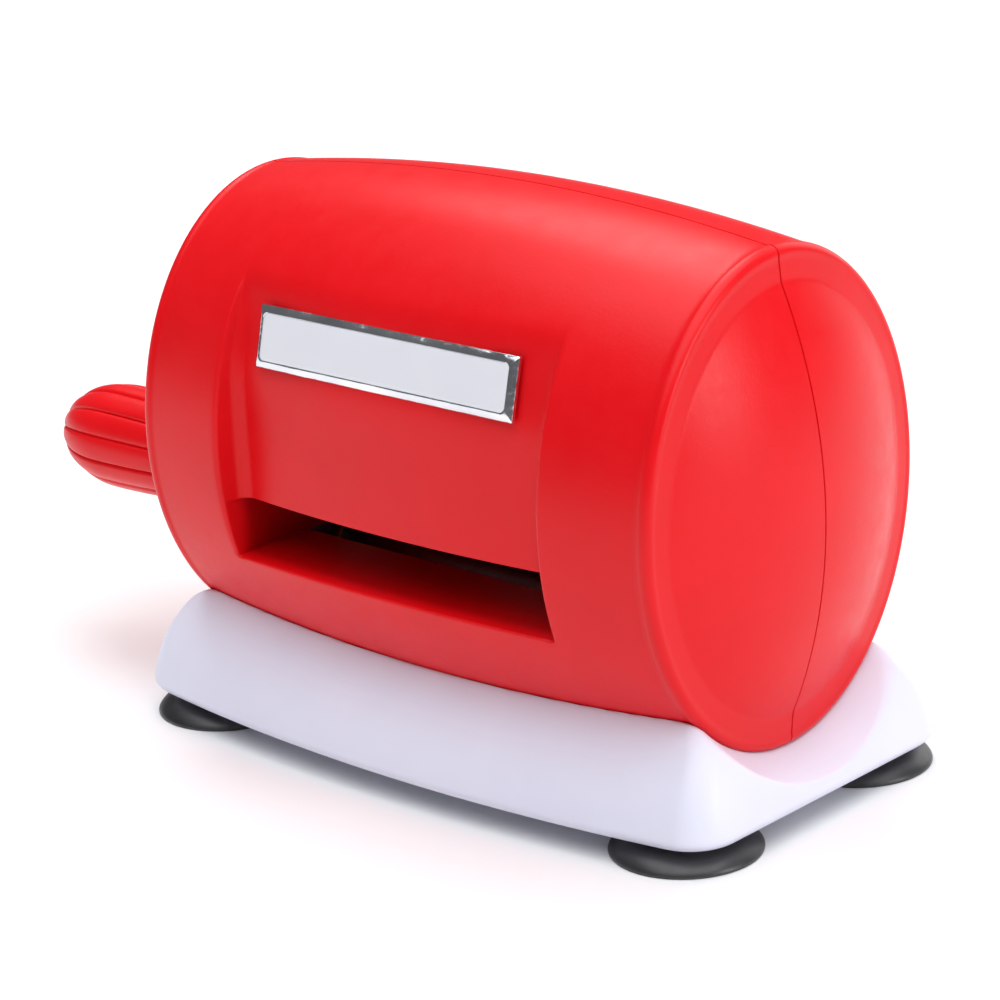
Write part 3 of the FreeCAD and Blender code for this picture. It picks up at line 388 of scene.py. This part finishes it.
def columns():
    """(x, radius, share of the recess's depth) from pole to pole.  The recess's
    side walls lean out a little, eased into the panel and over the barrel."""
    wall = []
    for i in range(13):
        a = math.radians(78.0 * i / 12)
        wall.append((52.288 + 4.5 * math.sin(a), (4.0 + 4.5 * math.cos(a)) / 8.5))
    for i in range(1, 5):
        t = i / 4.0
        wall.append((56.69 + 0.78 * t, (4.936 - 3.669 * t) / 8.5))
    for i in range(1, 10):
        b = math.radians(12.0 + 78.0 * i / 9)
        wall.append((59.035 - 1.6 * math.cos(b), (1.6 - 1.6 * math.sin(b)) / 8.5))
    inner = [52.288 * i / 34 for i in range(34)]
    right = [(x, 1.0) for x in inner[1:]] + wall
    mid = [(SLOT_X - x, s) for x, s in right[::-1]] + [(SLOT_X, 1.0)] + [(SLOT_X + x, s) for x, s in right]
    a, b = mid[0][0], mid[-1][0]
    left_outer = [(-87.0 + (a + 87.0) * i / 19, 0.0) for i in range(19)]
    right_outer = [(b + (87.0 - b) * i / 19, 0.0) for i in range(1, 20)]
    cols = [(-x, r, 0.0) for x, r in END[::-1]]
    cols += [(x, crown(x), s) for x, s in left_outer + mid + right_outer]
    cols += [(x, r, 0.0) for x, r in END]
    return cols


COLS = columns()
EDGE = 57.47
CW = [i for i, c in enumerate(COLS) if abs(abs(c[0] - SLOT_X) - EDGE) < 1e-3]
assert len(CW) == 2


def panel_y(x, z):
    """The recessed panel, as a distance from the middle plane."""
    lean = math.tan(math.radians(14.5)) * 2.0 * math.log1p(math.exp(min(40.0, (z - 107.6) / 2.0)))
    return 51.0 - (484.0 - math.sqrt(484.0**2 - x * x)) - lean


def depth_at(x, z, yb, k=1.5):
    d = yb - panel_y(x, z)
    if d <= -k:
        return 0.0
    if d >= k:
        return d
    return (d + k) ** 2 / (4 * k)


def shell_mesh(sign):
    """One half of the barrel, sign -1 for the front and +1 for the rear."""
    b = Build()
    n_low, n_lip, n_band, n_top = 56, 6, 12, 104
    rows = []
    for i in range(n_low):
        rows.append(("A", i / n_low))
    for i in range(n_lip):
        rows.append(("L", i / n_lip))
    j_lo = len(rows)
    for i in range(n_band):
        rows.append(("B", i / n_band))
    j_hi = len(rows)
    for i in range(n_lip):
        rows.append(("T", i / n_lip))
    for i in range(n_top + 1):
        rows.append(("C", i / n_top))
    nr = len(rows)

    def angle(z, r):
        return math.asin((z - AXIS_Z) / max(r, 57.0))

    ids = [[-1] * nr for _ in COLS]
    for c, (x, r, share) in enumerate(COLS):
        for j, (kind, t) in enumerate(rows):
            if CW[0] < c < CW[1] and j_lo < j < j_hi:
                continue
            extra = 0.0
            use_share = True
            if kind == "A":
                th = -math.pi / 2 + (angle(SLOT_LOW - LIP, r) + math.pi / 2) * t
                use_share = False
            elif kind == "L":
                a = t * math.pi / 2
                th = angle(SLOT_LOW - LIP + LIP * math.sin(a), r)
                use_share = False
                extra = 1 - math.cos(a)
            elif kind == "B":
                th = angle(SLOT_LOW + (SLOT_HIGH - SLOT_LOW) * t, r)
            elif kind == "T":
                a = (1 - t) * math.pi / 2
                th = angle(SLOT_HIGH + TOP_LIP * (1 - math.sin(a)), r)
                extra = 1 - math.cos(a)
            else:
                lo = angle(SLOT_HIGH + TOP_LIP, r)
                th = lo + (math.pi / 2 - lo) * t
            yb = RATIO * r * math.cos(th)
            z = AXIS_Z + r * math.sin(th)
            d = 0.0
            if share > 0:
                inside = CW[0] <= c <= CW[1]
                d = depth_at(x, z, yb)
                if kind == "A":
                    d = 0.0
                elif kind == "L" or (j == j_lo):
                    at_lip = depth_at(x, SLOT_LOW, RATIO * math.sqrt(r * r - (SLOT_LOW - AXIS_Z) ** 2))
                    full = share * at_lip
                    if inside:
                        w = float(smooth01((abs(x - SLOT_X) - 53.6) / 3.87))
                        full = LIP * (1 - w) + full * w
                    d = full * (extra if kind == "L" else 1.0)
                else:
                    d *= share
                    if kind == "T" and inside:
                        d += TOP_LIP * float(smooth01((EDGE - abs(x - SLOT_X)) / 3.0)) * extra
            y = yb - d
            y = math.sqrt(y * y + 0.28**2)
            ids[c][j] = b.add((x, y, z))
    # poles: one vertex at each end
    for c in range(len(COLS) - 1):
        for j in range(nr - 1):
            if CW[0] <= c < CW[1] and j_lo <= j < j_hi:
                continue
            q = [ids[c][j], ids[c + 1][j], ids[c + 1][j + 1], ids[c][j + 1]]
            b.f.append(q)
    pole_r = b.add((103.4, 0.28, AXIS_Z))
    pole_l = b.add((-103.4, 0.28, AXIS_Z))
    last = len(COLS) - 1
    for j in range(nr - 1):
        b.f.append([ids[last][j], pole_r, ids[last][j + 1]])
        b.f.append([pole_l, ids[0][j], ids[0][j + 1]])
    # the seam: both edges turn in to make a fine groove between the halves
    xs = np.array([[c[0], c[1]] for c in COLS])
    tan = np.gradient(xs, axis=0)
    nrm = np.stack([-tan[:, 1], tan[:, 0]], 1)
    nrm /= np.linalg.norm(nrm, axis=1)[:, None]
    groove = ((0.24, 0.10), (0.15, 0.40), (0.09, 0.80))
    loops = []
    for up, j in ((1.0, nr - 1), (-1.0, 0)):
        base = [pole_l] + [ids[c][j] for c in range(len(COLS))] + [pole_r]
        loops.append((up, base))
    pole_in = {}
    for up, base in loops:
        prev = base
        for y, dep in groove:
            now = []
            for k in range(len(base)):
                if k in (0, len(base) - 1):
                    s = -1.0 if k == 0 else 1.0
                    key = (s, dep)
                    if key not in pole_in:
                        pole_in[key] = b.add((s * (103.4 - dep), y, AXIS_Z))
                    now.append(pole_in[key])
                else:
                    x, r = xs[k - 1]
                    nx, nz = nrm[k - 1]
                    now.append(b.add((x - nx * dep, y, AXIS_Z + up * (r - nz * dep))))
            for k in range(len(base) - 1):
                q = [prev[k], prev[k + 1], now[k + 1], now[k]]
                if up < 0:
                    q = q[::-1]
                b.f.append(q)
            prev = now
    # the feed throat, from the slot's edge inwards
    loop = [ids[c][j_lo] for c in range(CW[0], CW[1])]
    loop += [ids[CW[1]][j] for j in range(j_lo, j_hi)]
    loop += [ids[c][j_hi] for c in range(CW[1], CW[0], -1)]
    loop += [ids[CW[0]][j] for j in range(j_hi, j_lo, -1)]
    rings = [loop]
    for t in (0.04, 0.12, 0.25, 0.4, 0.55, 0.7, 0.85, 1.0):
        ring = []
        for i in loop:
            x, y, z = b.v[i]
            ring.append(b.add((x, y + (DUCT_END - y) * t, z)))
        rings.append(ring)
    n = len(loop)
    for a, c in zip(rings[:-1], rings[1:]):
        for i in range(n):
            j = (i + 1) % n
            b.f.append([a[i], a[j], c[j], c[i]])
    last_ring = rings[-1]
    where = {i: k for k, i in enumerate(loop)}
    for c in CW:
        prev = [last_ring[where[ids[c][j]]] for j in range(j_lo, j_hi + 1)]
        for y_in in (21.0, 17.5, 14.5):
            now = [b.add((b.v[i][0], y_in, b.v[i][2])) for i in prev]
            for k in range(len(prev) - 1):
                q = [prev[k], prev[k + 1], now[k + 1], now[k]]
                b.f.append(q if c == CW[1] else q[::-1])
            prev = now
    v = np.array(b.v)
    f = b.f
    # room for the crank's hub in the left dome
    keep = []
    for q in f:
        m = v[q].mean(0)
        if m[0] < -90 and math.hypot(m[1], m[2] - 112.5) < 10.4:
            continue
        keep.append(q)
    f = keep
    used = sorted({i for q in f for i in q})
    renum = {i: k for k, i in enumerate(used)}
    v = v[used]
    f = [[renum[i] for i in q] for q in f]
    v[:, 1] *= sign
    if sign > 0:
        f = [q[::-1] for q in f]
    return v, f


def thicken(o, t):
    m = o.modifiers.new("wall", "SOLIDIFY")
    m.thickness = t * MM
    m.offset = -1.0
    m.use_even_offset = False
    m.use_rim = True
    bake_modifiers(o)
    return o


def surface_y(x, z):
    """Half depth of the barrel with its rear recess at (x, z)."""
    r = crown(x)
    yb = RATIO * math.sqrt(max(0.0, r * r - (z - AXIS_Z) ** 2))
    if abs(x - SLOT_X) < 57.5 and z > SLOT_HIGH:
        return yb - depth_at(x, z, yb)
    return yb


WELLS = ((83.0, 134.0), (-83.0, 134.0), (83.0, 60.0), (-83.0, 60.0), (0.0, 142.0))

v, f = shell_mesh(-1.0)
front = make("front_half", v, f, "shell_red", None)
thicken(front, 2.2)
finish_mesh(front)
settle(front, "housing", ("front_shell",))

v, f = shell_mesh(1.0)
rear = make("rear_half", v, f, "shell_red", None)
thicken(rear, 2.2)
# five counterbored holes for the screws that hold the halves together
b = Build()
for x, z in WELLS:
    n = 48
    a = [b.add((x + 3.4 * math.cos(2 * math.pi * i / n), surface_y(x, z) - 16.0, z + 3.4 * math.sin(2 * math.pi * i / n))) for i in range(n)]
    c = [b.add((x + 3.4 * math.cos(2 * math.pi * i / n), 75.0, z + 3.4 * math.sin(2 * math.pi * i / n))) for i in range(n)]
    b.rows([a, c])
    b.cap(a)
    b.cap(c, True)
drill = make("drill", b.v, b.f, "shell_red", None)
outward(drill)
m = rear.modifiers.new("holes", "BOOLEAN")
m.operation = "DIFFERENCE"
m.solver = "EXACT"
m.object = drill
bake_modifiers(rear)
bpy.data.objects.remove(drill)
finish_mesh(rear)
settle(rear, "housing", ("rear_shell",))

# the walls of those holes, down to the shoulder each screw head sits on
for k, (x, z) in enumerate(WELLS):
    b = Build()
    n = 48

    def ring(r, y=None):
        out = []
        for i in range(n):
            px, pz = x + r * math.cos(2 * math.pi * i / n), z + r * math.sin(2 * math.pi * i / n)
            out.append(b.add((px, surface_y(px, pz) - 0.7 if y is None else y, pz)))
        return out

    rings = [ring(3.4), ring(3.4, 12.0), ring(1.8, 12.0), ring(1.8, 1.0), ring(4.5, 1.0), ring(4.5)]
    rings.append(rings[0])
    b.rows(rings)
    o = make("screw_well_%d" % (k + 1), b.v, b.f, "shell_red", None)
    outward(o)
    finish_mesh(o)
    settle(o, "housing")

# the crank's hub, half of it on each shell, its edge rounded
prof = [(-90.0, 8.0), (-104.1, 8.0), (-104.5, 8.4), (-104.5, 12.1)]
for i in range(1, 6):
    a = math.radians(18.0 * i)
    prof.append((-103.6 - 0.9 * math.cos(a), 12.1 + 0.9 * math.sin(a)))
prof += [(-101.0, 13.0), (-95.0, 13.1), (-90.0, 13.1)]
turned("crank_hub", prof, "shell_red", "housing", 0.0, 112.5)


# ------------------------------------------------------------------ the base
def level(h):
    dx = 0.146 * h + 0.0056 * h * h + 5.4 * (h / 29.4) ** 6
    dy = 0.290 * h + 0.0183 * h * h
    if h < 3.0:
        e = 2.2 * (1 - h / 3.0) ** 2
        dx, dy = dx + e, dy + e
    return dx, dy, 1.0 / (1 / 568.0 - 5.7e-5 * h), max(3.0, 12.8 - 0.287 * h)


def outline(h, inset=0.0):
    """One level of the base as a closed list of (x, y), counterclockwise."""
    dx, dy, bow, rc = level(h)
    bx, by = 103.66 - dx - inset, 60.34 - dy - inset
    bow -= inset
    rc = max(1.0, rc - inset)
    yc = bow - by
    cy = math.sqrt((bow - rc) ** 2 - (bx - rc) ** 2) - yc
    cx = bx - rc
    # direction from the bow's centre to the corner's
    a_t = math.atan2(cy + yc, cx)
    quarter = []
    for i in range(18):
        quarter.append((bx, cy * i / 18))
    for i in range(17):
        a = a_t * i / 16
        quarter.append((cx + rc * math.cos(a), cy + rc * math.sin(a)))
    for i in range(1, 60):
        a = a_t + (math.pi / 2 - a_t) * i / 60
        quarter.append((bow * math.cos(a), bow * math.sin(a) - yc))
    q1 = quarter + [(0.0, by)]
    q2 = [(-x, y) for x, y in quarter[::-1]]
    half = q1 + q2
    return half + [(-x, -y) for x, y in half[1:-1]]


def saddle_z(x, y):
    """Height of the scooped seat under the barrel, or a large number outside it."""
    ax = abs(x)
    r_seat = crown(min(ax, 92.0)) + 0.15
    r_cone = 65.95 + 0.46 * (ax - 89.0)
    d = r_seat - r_cone
    k = 1.2
    r = max(r_seat, r_cone) + (max(0.0, k - abs(d)) ** 2) / (4 * k)
    t = r * r - (y / RATIO) ** 2
    if t <= 0:
        return 1e3
    return AXIS_Z - math.sqrt(t)


def soft_min(a, b, k):
    if b > 500:
        return a
    h = max(0.0, k - abs(a - b))
    return min(a, b) - h * h / (4 * k)


def base_piece():
    b = Build()
    hs = [0.0, 0.12, 0.3, 0.55, 0.85, 1.2, 1.6, 2.0, 2.5, 3.0]
    hs += [3.0 + (29.4 - 3.0) * i / 62 for i in range(1, 63)]
    rings = []
    for h in hs:
        ring = []
        for x, y in outline(h):
            k = 0.7 + 2.6 * float(smooth01((abs(x) - 82.0) / 9.0))
            z = soft_min(6.6 + h, saddle_z(x, y), k)
            ring.append(b.add((x, y, max(z, 6.8 if h > 0 else 6.6))))
        rings.append(ring)
    top = outline(29.4)
    for s in (0.97, 0.9, 0.78, 0.6, 0.4, 0.2):
        ring = []
        for x, y in top:
            px, py = x * (0.55 + 0.45 * s), y * s
            ring.append(b.add((px, py, soft_min(36.0, saddle_z(px, py), 0.7))))
        rings.append(ring)
    b.rows(rings)
    # the ridge along the middle closes the seat
    last = rings[-1]
    spine = [b.add((b.v[i][0], 0.0, saddle_z(b.v[i][0], 0.0))) for i in last]
    n = len(last)
    merged = {}
    for k, i in enumerate(spine):
        key = round(b.v[i][0], 4)
        merged.setdefault(key, i)
        spine[k] = merged[key]
    b.rows([last, spine])
    # underneath: the rim's flat edge, its inner wall and the deck above the plate
    inner = [b.add((x, y, 6.6)) for x, y in outline(0.0, 2.6)]
    wall = [b.add((x, y, 8.6)) for x, y in outline(0.0, 2.6)]
    b.rows([wall, inner, rings[0]])
    b.cap(wall)
    used = sorted({i for q in b.f for i in q})
    renum = {i: k for k, i in enumerate(used)}
    return [b.v[i] for i in used], [[renum[i] for i in q] for q in b.f]


v, f = base_piece()
base = make("saddle_base", v, f, "base_white", None)
bm = bmesh.new()
bm.from_mesh(base.data)
bmesh.ops.remove_doubles(bm, verts=bm.verts, dist=1e-6)
bmesh.ops.recalc_face_normals(bm, faces=bm.faces)
bm.to_mesh(base.data)
bm.free()
finish_mesh(base, 48.0)
settle(base, "housing", ("base_shell",))

# ------------------------------------------------------------------ the cups
CUP = [
    (0.0, 2.6), (4.0, 2.5), (8.0, 2.15), (12.0, 1.55), (15.5, 0.85), (17.6, 0.25), (18.5, 0.02),
    (19.2, 0.0), (19.75, 0.08), (19.98, 0.32), (20.0, 0.62), (19.86, 1.05), (19.4, 1.7), (18.7, 2.45),
    (17.6, 3.3), (16.2, 4.1), (14.6, 4.8), (12.8, 5.4), (11.0, 5.85), (9.2, 6.2), (7.6, 6.45),
    (6.3, 6.62), (5.6, 6.75), (4.0, 6.8), (4.0, 8.4), (5.4, 8.42), (5.5, 8.8), (5.2, 10.8),
    (4.2, 12.4), (3.2, 13.0), (0.0, 13.0),
]
for name, sx, sy in (
    ("front_right", 1, -1), ("rear_right", 1, 1), ("front_left", -1, -1), ("rear_left", -1, 1),
):
    b = Build()
    n = 96
    rings = []
    for r, z in CUP:
        if r < 1e-6:
            rings.append([b.add((84.1 * sx, 35.7 * sy, z))] * n)
        else:
            rings.append([
                b.add((84.1 * sx + r * math.cos(2 * math.pi * i / n), 35.7 * sy + r * math.sin(2 * math.pi * i / n), z))
                for i in range(n)
            ])
    b.rows(rings)
    o = make("cup_" + name, b.v, b.f, "cup_rubber", None)
    outward(o)
    finish_mesh(o, 50.0)
    settle(o, "housing", ("suction_cup_" + name,))

# ------------------------------------------------------------------ the label
TILT = math.radians(14.5)
L_N = np.array([0.0, -math.cos(TILT), math.sin(TILT)])
L_U = np.array([0.0, math.sin(TILT), math.cos(TILT)])
L_C = np.array([SLOT_X, -49.45, 118.25])


def rounded(w, h, r, per=10):
    out = []
    for cx, cy, a0 in ((w / 2 - r, h / 2 - r, 0), (-w / 2 + r, h / 2 - r, 90), (-w / 2 + r, -h / 2 + r, 180), (w / 2 - r, -h / 2 + r, 270)):
        for i in range(per + 1):
            a = math.radians(a0 + 90.0 * i / per)
            out.append((cx + r * math.cos(a), cy + r * math.sin(a)))
    return out


def label_ring(b, w, h, r, up):
    return [b.add(L_C + np.array([1.0, 0, 0]) * x + L_U * y + L_N * up) for x, y in rounded(w, h, r)]


b = Build()
steps = [
    (92.1, 16.9, 0.5, -2.2), (92.1, 16.9, 0.5, -1.35), (91.95, 16.75, 0.5, -1.18), (91.5, 16.25, 0.6, -0.98),
    (90.1, 14.85, 1.0, -0.42), (88.9, 13.8, 1.4, -0.10), (88.4, 13.35, 1.6, -0.02), (88.0, 13.0, 1.7, -0.02),
    (87.7, 12.7, 1.7, -0.16), (87.7, 12.7, 1.7, -0.9),
]
rings = [label_ring(b, *s) for s in steps]
b.rows(rings)
b.cap(rings[0], True)
b.cap(rings[-1])
o = make("label_rim", b.v, b.f, "label_chrome", None)
outward(o)
finish_mesh(o, 40.0)
settle(o, "housing", ("label_frame",))

b = Build()
rings = [label_ring(b, 87.6, 12.6, 1.65, -0.88), label_ring(b, 87.6, 12.6, 1.65, -0.22), label_ring(b, 87.2, 12.2, 1.5, -0.1)]
for k, s in enumerate((0.9, 0.75, 0.55, 0.3, 0.1)):
    rings.append(label_ring(b, 87.2 - (1 - s) * 12.0, 12.2 * s, 1.5 * s, -0.1 + 0.12 * (1 - s * s)))
b.rows(rings)
b.cap(rings[0], True)
b.cap(rings[-1])
o = make("label_panel", b.v, b.f, "label_card", None)
outward(o)
finish_mesh(o, 40.0)
settle(o, "housing", ("label_face",))

# ------------------------------------------------------------------ the grip
GRIP_Z = 57.4


def grip_piece():
    """Twelve rounded lobes between V grooves that meet at the tip."""
    b = Build()
    lobes, per = 12, 22
    n = lobes * per
    stations = []
    for i in range(1, 30):
        a = math.radians(90.0 * (i / 29.0) ** 1.0)
        stations.append((-158.8 - 24.2 * math.cos(a), 15.6 * math.sin(a)))
    for i in range(1, 19):
        u = i / 18.0 * 0.95
        stations.append((-158.8 + 41.8 * u, 15.6 * math.sqrt(1 - (0.58 * u) ** 2)))
    end_r = stations[-1][1]
    for i in range(1, 7):
        a = math.radians(90.0 * i / 6)
        stations.append((-158.8 + 41.8 * 0.95 + 1.9 * math.sin(a), end_r - 1.9 * (1 - math.cos(a))))
    rings = []
    tip = b.add((-182.75, 0.0, GRIP_Z))
    for x, r in stations:
        ring = []
        fade = min(1.0, r / 15.6 * 1.5)
        for k in range(n):
            t = (k % per) / per * 2.0 - 1.0
            ph = 2 * math.pi * k / n + math.pi / 2 + math.pi / 12
            edge = 1 - abs(t)
            cutd = 0.70 * fade * math.exp(-((edge * per / 2.0 / 1.15) ** 2))
            belly = 0.48 * fade * t * t
            rr = max(0.05, r - cutd - belly)
            ring.append(b.add((x + 0.3 * cutd * max(0.0, 1 - r / 12.0), rr * math.cos(ph), GRIP_Z + rr * math.sin(ph))))
        rings.append(ring)
    # flat inner end and bore
    x_end = stations[-1][0]
    for r, x in ((9.5, x_end + 0.0), (6.6, x_end), (6.6, -160.0), (7.2, -160.0), (7.2, -168.0)):
        rings.append([b.add((x, r * math.cos(2 * math.pi * k / n + math.pi / 2), GRIP_Z + r * math.sin(2 * math.pi * k / n + math.pi / 2))) for k in range(n)])
    end = b.add((-168.0, 0.0, GRIP_Z))
    b.rows([[tip] * n] + rings + [[end] * n])
    return b.v, b.f


v, f = grip_piece()
o = make("turning_grip", v, f, "shell_red", None)
outward(o)
finish_mesh(o, 60.0)
settle(o, "hand_grip", ("grip",))

# ------------------------------------------------------------------ CAD pieces
for name in ("crank_arm", "crank_screw", "side_frame_left", "side_frame_right", "base_plate"):
    m = nodes[name].modifiers.new("edge", "BEVEL")
    m.width = 0.25 * MM
    m.segments = 2
    m.limit_method = "ANGLE"
    m.angle_limit = math.radians(40)

# ------------------------------------------------------------------ the studio
me = bpy.data.meshes.new("floor")
me.from_pydata([(-9, -9, 0), (9, -9, 0), (9, 9, 0), (-9, 9, 0)], [], [(0, 1, 2, 3)])
floor = bpy.data.objects.new("floor", me)
bpy.context.scene.collection.objects.link(floor)
fm, nt, s = node_material("floor_white")
nt.links.new(mixed(nt, noise(nt, 3.0, 2.0), (0.895, 0.90, 0.90), (0.915, 0.92, 0.92)), s.inputs["Base Color"])
s.inputs["Roughness"].default_value = 0.9
s.inputs["Specular IOR Level"].default_value = 0.1
me.materials.append(fm)

world = bpy.data.worlds.new("studio")
bpy.context.scene.world = world
world.use_nodes = True
wbg = world.node_tree.nodes["Background"]
wbg.inputs["Color"].default_value = (0.965, 0.975, 1.0, 1.0)
wbg.inputs["Strength"].default_value = 0.14


def lamp(name, where, at, size, power, color=(1, 1, 1), size_y=None):
    d = bpy.data.lights.new(name, "AREA")
    d.shape = "RECTANGLE"
    d.size = size
    d.size_y = size_y or size
    d.energy = power
    d.color = color
    o = bpy.data.objects.new(name, d)
    bpy.context.scene.collection.objects.link(o)
    o.location = where
    o.rotation_mode = "QUATERNION"
    o.rotation_quaternion = (Vector(at) - Vector(where)).to_track_quat("-Z", "Y")
    return o


lamp("overhead", (0.38, -0.36, 2.4), (0.0, 0.0, 0.0), 3.5, 94.0, (0.965, 0.975, 1.0))
lamp("right_box", (1.95, 0.33, 0.56), (0.1, 0.0, 0.10), 0.40, 10.3, (0.97, 0.98, 1.0), 0.70)
lamp("rear_box", (0.1, 2.0, 0.9), (0.05, 0.0, 0.1), 1.6, 13.0)
lamp("rear_top", (-1.0, 0.9, 2.1), (0.05, 0.0, 0.1), 1.15, 19.0)

# ------------------------------------------------------------------ the camera
cam_data = bpy.data.cameras.new("camera")
cam = bpy.data.objects.new("camera", cam_data)
bpy.context.scene.collection.objects.link(cam)
right = Vector((0.7366, 0.6745, -0.0502)).normalized()
up = Vector((-0.1786, 0.2655, 0.9475)).normalized()
back = right.cross(up).normalized()
up = back.cross(right).normalized()
cam.matrix_world = Matrix((
    (right.x, up.x, back.x, (645.513 + SHIFT) * MM),
    (right.y, up.y, back.y, -690.512 * MM),
    (right.z, up.z, back.z, 382.43 * MM),
    (0, 0, 0, 1),
))
cam_data.lens = 133.07
cam_data.sensor_width = 36.0
cam_data.sensor_fit = "AUTO"
cam_data.clip_start = 0.05
cam_data.clip_end = 60.0
bpy.context.scene.camera = cam

vs = bpy.context.scene.view_settings
vs.view_transform = "Standard"
vs.look = "None"
vs.exposure = 0.0
vs.gamma = 1.0
